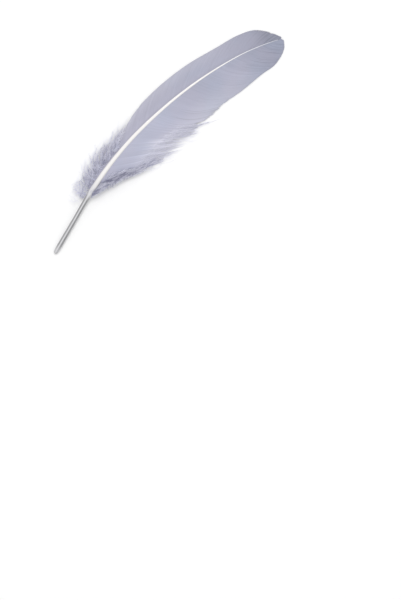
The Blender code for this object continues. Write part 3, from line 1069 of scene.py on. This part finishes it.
def plume_stems(tree, given):
    """Curves of the plumes, with what the finish reads stored on them."""
    curves, plume, share = many_curves(tree, given["Plumes"], given["Points a plume"])
    seed = given["Seed"]
    geometry, last_row, last_column, whole = guide_of(tree, given)
    rows = minus(last_row, LAST_PART)

    # Each plume's own root, reach and height.
    rooted = chance(given["First root"], given["Last root"], plume, seed)
    far = calc("POWER", chance(0.0, 1.0, plume, seed, 1), FEW_LONG)
    span = minus(given["Longest"], given["Shortest"])
    reach = calc("MULTIPLY_ADD", far, span, given["Shortest"])
    high = times(chance(LOWEST_PLUME, 1.0, plume, seed, 2), given["Lift"])

    def wander(step, scale):
        start = plus(times(plume, PLUME_STEP), step)
        where = vector_of(start, times(share, WAVES, scale), seed)
        return minus(noise({"Vector": where}, 1.0), 0.5)

    aside = times(wander(*WANDER_ASIDE), given["Spread rows"])
    aside = times(aside, calc("POWER", share, SPREAD_POWER))
    row = kept_on(plus(times(rooted, rows), aside), last_row)
    start = given["First share"]
    out_share = calc("MULTIPLY_ADD", share, minus(reach, start), start)
    column = kept_on(times(out_share, whole), last_column)
    place, _ = sheet_place(tree, geometry, given["Columns"], row, column)

    # Curls and height grow towards the end of the plume.
    curl = times(given["Curl"], calc("POWER", share, CURL_POWER))
    rise = times(high, calc("SINE", times(share, RISE_TURN)))
    x = times(wander(*WANDER_X), curl)
    y = times(wander(*WANDER_Y), curl)
    z = plus(times(calc("ABSOLUTE", wander(*WANDER_UP)), curl), rise)
    place = add_vectors(place, vector_of(x, y, z))

    # Small waves of the plume, each with its own length and start.
    waves = chance(*CRIMPS, plume, seed, 5)
    phase = calc("MULTIPLY_ADD", share, waves, times(plume, CRIMP_START))
    wave = times(given["Crimp"], spread(share, *CRIMPED))
    x, y = [times(calc(kind, phase), wave) for kind in ("SINE", "COSINE")]
    stems = moved(curves, place, x, y, 0.0)

    # How near each plume's root is to the ridge, which the finish darkens as painted shade.
    from_ridge = calc("ABSOLUTE", minus(rooted, given["Ridge root"]))
    for title, value in {
        "share": share,
        "plume": chance(0.0, 1.0, plume, seed, 3),
        "ridge": spread(from_ridge, *RIDGE_WIDTH, 1.0, 0.0),
    }.items():
        stems = remember(stems, title, value)
    return stems, share


def plume_threads(tree, given, stems):
    """Pointed threads along the stems: two for each spot, turned round and leaning to the end."""
    seed = given["Seed"]
    values = {"Curve": stems, "Length": given["Thread gap"]}
    spots = put(tree, "GeometryNodeCurveToPoints", values, mode="LENGTH")
    sides = out(spots, "Points")
    for title, socket in (("tangent", "Tangent"), ("normal_side", "Normal")):
        sides = remember(sides, title, out(spots, socket), "FLOAT_VECTOR")
    pair = {"Geometry": sides, "Amount": 2}
    pairs = follow("GeometryNodeDuplicateElements", pair, domain="POINT")
    index = out(put(tree, "GeometryNodeInputIndex"))
    tangent, normal = [stored(tree, t, "FLOAT_VECTOR") for t in ("tangent", "normal_side")]
    at = stored(tree, "share")

    turn = chance(0.0, 2 * math.pi, index, seed, 21)
    values = {"Vector": normal, "Axis": tangent, "Angle": turn}
    around = follow("ShaderNodeVectorRotate", values, rotation_type="AXIS_ANGLE")
    lean = times(given["Lean"], chance(*LEANS, index, seed, 22))
    lean = times(lean, calc("MULTIPLY_ADD", at, -LEAN_LOSS, 1.0))

    def scaled(direction, kind):
        values = {0: direction, 3: calc(kind, lean)}
        return follow("ShaderNodeVectorMath", values, operation="SCALE")

    direction = add_vectors(scaled(tangent, "COSINE"), scaled(around, "SINE"))
    turned = follow("FunctionNodeAlignRotationToVector", {"Vector": direction}, axis="Z")
    length = times(given["Thread length"], chance(*THREAD_LENGTHS, index, seed, 23))
    length = times(length, spread(at, *SHORT_AT_ROOT), spread(at, *SHORT_AT_END))
    cone = {"Vertices": 3, "Radius Top": 0.0, "Radius Bottom": 1.0, "Depth": 1.0}
    thread = put(tree, "GeometryNodeMeshCone", cone, fill_type="NGON")
    width = given["Thread width"]
    return follow("GeometryNodeInstanceOnPoints", {
        "Points": pairs,
        "Instance": out(thread),
        "Rotation": turned,
        "Scale": vector_of(width, width, length),
    })


def build_down_tree(tree, given):
    """Plumes as thin stems with threads round them."""
    stems, share = plume_stems(tree, given)
    circle = {"Resolution": 3, "Radius": given["Stem width"]}
    ring = follow("GeometryNodeCurvePrimitiveCircle", circle)
    rods = sweep(stems, ring, calc("MULTIPLY_ADD", share, -STEM_TAPER, 1.0))
    both = put(tree, "GeometryNodeJoinGeometry")
    tree.links.new(rods, both.inputs[0])
    tree.links.new(plume_threads(tree, given, stems), both.inputs[0])
    end_tree(tree, out(both), given["Material"])


build_down_tree(down_tree, down_given)

# %% [markdown]
# ## Grow the down
#
# Under the wide vane the down is a narrow band that runs along the vane's lower edge, with painted
# shade along its middle. Beside the narrow vane it is a loose tuft that stands out from the shaft.
# Only the sizes differ, and `NO_RIDGE` is a root so far away that no plume gets the ridge's painted
# shade.

# %% Grow the down
NO_RIDGE = -1.0
DOWN = {
    "Rows": DOWN_ROWS, "Columns": GUIDE_COLUMNS, "Last root": 1.0, "First share": 0.0,
    "Farthest share": FARTHEST_SHARE, "Points a plume": 44, "Stem width": 0.05 * MM,
    "Ridge root": NO_RIDGE, "Lift": 2.0 * MM, "Longest": 1.2, "Thread gap": 0.14 * MM,
    "Thread length": 0.8 * MM, "Lean": math.radians(44.0),
}
wide_down = grow("wide_down", down_tree, DOWN | {
    "Guide": guides["wide_down"], "Material": wide_soft, "Plumes": 100, "First root": 0.22,
    "Last root": 0.92, "Spread rows": 62.0, "Curl": 11.0 * MM, "Crimp": 0.5 * MM,
    "Ridge root": 0.63, "Shortest": 0.25, "Thread width": 0.036 * MM, "Seed": 5,
})
narrow_down = grow("narrow_down", down_tree, DOWN | {
    "Guide": guides["narrow_down"], "Material": narrow_soft, "Plumes": 112, "First root": 0.04,
    "Spread rows": 45.0, "Curl": 6.0 * MM, "Crimp": 0.4 * MM, "Shortest": 0.30,
    "Thread width": 0.032 * MM, "Seed": 6,
})

# %% [markdown]
# ## Grow the pale wisps
#
# Beyond the barbs and the down a real feather has a haze of single threads, so fine that they look
# almost white. They come from the same tree: few plumes with thinner threads, which start partway
# out on the same sheets and end past their edges.

# %% Grow the pale wisps beyond the down and the loose barbs
WISPS = DOWN | {
    "Material": fringe_pale, "Crimp": 0.2 * MM, "Thread gap": 0.17 * MM,
    "Thread width": 0.022 * MM, "Lean": math.radians(38.0),
}
wide_fringe = grow("wide_fringe", down_tree, WISPS | {
    "Guide": guides["wide"], "Rows": GUIDE_ROWS, "Plumes": 104, "First root": 0.03,
    "Last root": 0.36, "First share": 0.55, "Spread rows": 14.0, "Crimp": 0.1 * MM,
    "Curl": 6.0 * MM, "Lift": 0.4 * MM, "Shortest": 0.92, "Longest": 1.38, "Seed": 12,
})
narrow_fringe = grow("narrow_fringe", down_tree, WISPS | {
    "Guide": guides["narrow_down"], "Plumes": 60, "First root": 0.0, "Last root": 0.95,
    "First share": 0.25, "Spread rows": 40.0, "Curl": 7.0 * MM, "Lift": 1.2 * MM,
    "Shortest": 0.85, "Longest": 1.29, "Seed": 14,
})
base_fringe = grow("base_fringe", down_tree, WISPS | {
    "Guide": guides["wide_down"], "Material": narrow_soft, "Plumes": 80, "First root": 0.18,
    "Last root": 0.64, "First share": 0.30, "Spread rows": 80.0, "Curl": 18.0 * MM,
    "Thread width": 0.028 * MM, "Lift": 0.8 * MM, "Shortest": 0.60, "Longest": 1.38, "Seed": 15,
})

# %% [markdown]
# ## Tie the pieces to the model
#
# The guide sheets have done their work and go. Each finished piece then rides on the one body of
# the feather and stands in for its plain solid.

# %% Tie the pieces to the model
for sheet in guides.values():
    bpy.data.meshes.remove(sheet.data)
for piece, finish in (
    (shaft, "shaft_ivory"),
    (wide_vane, "grey_barbs"),
    (narrow_vane, "grey_barbs"),
    (wide_down, "grey_down"),
    (narrow_down, "grey_down"),
    (wide_fringe, "grey_down"),
    (narrow_fringe, "grey_down"),
    (base_fringe, "grey_down"),
):
    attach(piece, "root")
    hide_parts("feather")

# %% [markdown]
# ## Table, light and camera
#
# The picture looks straight down on a white table. A broad soft light stands beyond the picture's
# top edge, so the shadows are soft and fall a little below the feather. The camera is turned about
# the upright axis, so the feather rises to the upper right as it does in the picture.

# %% Table, light and camera
PICTURE_TURN = math.radians(-42.82)
PICTURE_MIDDLE = (-0.04736, -0.08898)
PICTURE_HEIGHT = 0.3486
CAMERA_HEIGHT = 6.0
SENSOR = 36.0
TABLE_REACH = 4.0
TABLE_WHITE = (0.90, 0.90, 0.90)
SKY_STRENGTH = 0.765
LAMP_SIZE = 1.8
LAMP_POWER = 46.5
LAMP_DISTANCE = 1.2
LAMP_HEIGHT = 3.0


def white_table():
    """A flat white sheet under the feather."""
    shape = bmesh.new()
    bmesh.ops.create_grid(shape, x_segments=1, y_segments=1, size=TABLE_REACH)
    return show_shape("white_table", shape, new_material("white_paper", TABLE_WHITE, 0.9)[0])


white_table()

world = bpy.data.worlds.new("studio")
bpy.context.scene.world = world
world.use_nodes = True
sky = world.node_tree.nodes["Background"]
sky.inputs["Color"].default_value = (1.0, 1.0, 1.0, 1.0)
sky.inputs["Strength"].default_value = SKY_STRENGTH

up_in_picture = Vector((math.sin(-PICTURE_TURN), math.cos(PICTURE_TURN), 0.0))
lamp = bpy.data.lights.new("soft_light", "AREA")
lamp.shape = "DISK"
lamp.size = LAMP_SIZE
lamp.energy = LAMP_POWER
lamp_stand = show(lamp)
lamp_stand.location = up_in_picture * LAMP_DISTANCE + Vector((0.0, 0.0, LAMP_HEIGHT))
lamp_stand.rotation_euler = (-lamp_stand.location).to_track_quat("-Z", "Y").to_euler()

lens = bpy.data.cameras.new("camera")
lens.sensor_width = SENSOR
lens.lens = SENSOR * CAMERA_HEIGHT / PICTURE_HEIGHT
camera = show(lens)
camera.location = (*PICTURE_MIDDLE, CAMERA_HEIGHT)
camera.rotation_euler = (0.0, 0.0, PICTURE_TURN)
bpy.context.scene.camera = camera
bpy.context.scene.view_settings.view_transform = "Standard"
print("lens of", round(lens.lens), "mm,", CAMERA_HEIGHT, "m above the table")
